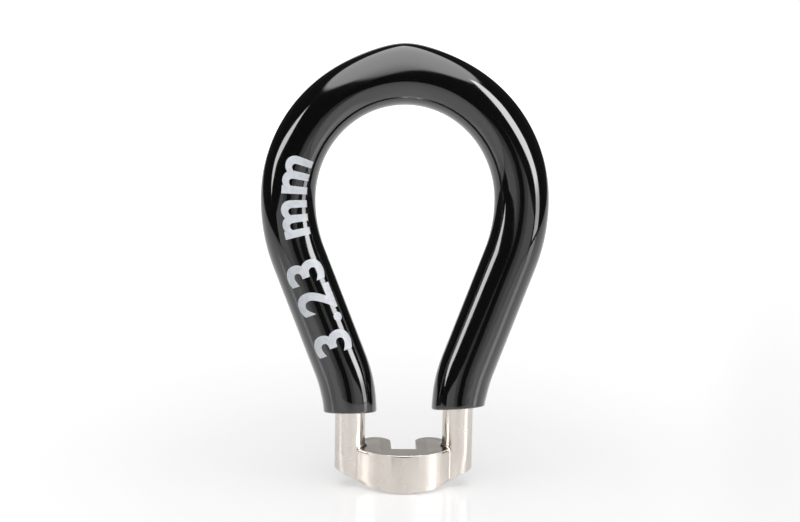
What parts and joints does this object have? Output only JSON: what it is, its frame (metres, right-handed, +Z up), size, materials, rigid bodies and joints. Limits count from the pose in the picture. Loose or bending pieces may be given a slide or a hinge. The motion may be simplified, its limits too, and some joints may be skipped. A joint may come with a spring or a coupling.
{
  "type": "spoke wrench",
  "caption": "Hand wrench that turns the nipples of a spoked wheel: a slotted steel head brazed between the ends of a bent rod, with a dipped vinyl grip",
  "frame": {"origin": "where the axis of the nipple, in the middle between the two jaws, meets the plane of the head's flat bottom; the point itself lies in the open slot", "axes": "+Z up the axis of the nipple, from the head towards the grip; +Y to the side to which the slot opens; +X across, towards the rod end that is on the right when seen from the closed side"},
  "size_m": [0.0368, 0.0177, 0.0556],
  "materials": {
    "plated_head": "satin nickel plate",
    "plated_rod": "satin nickel plate",
    "plated_braze": "plated over the braze",
    "vinyl": "glossy dipped vinyl"
  },
  "bodies": {
    "root": {"head": "plated_head", "bow_rod": "plated_rod", "grip_coat": "vinyl", "left_braze": "plated_braze", "right_braze": "plated_braze"}
  },
  "joints": []
}
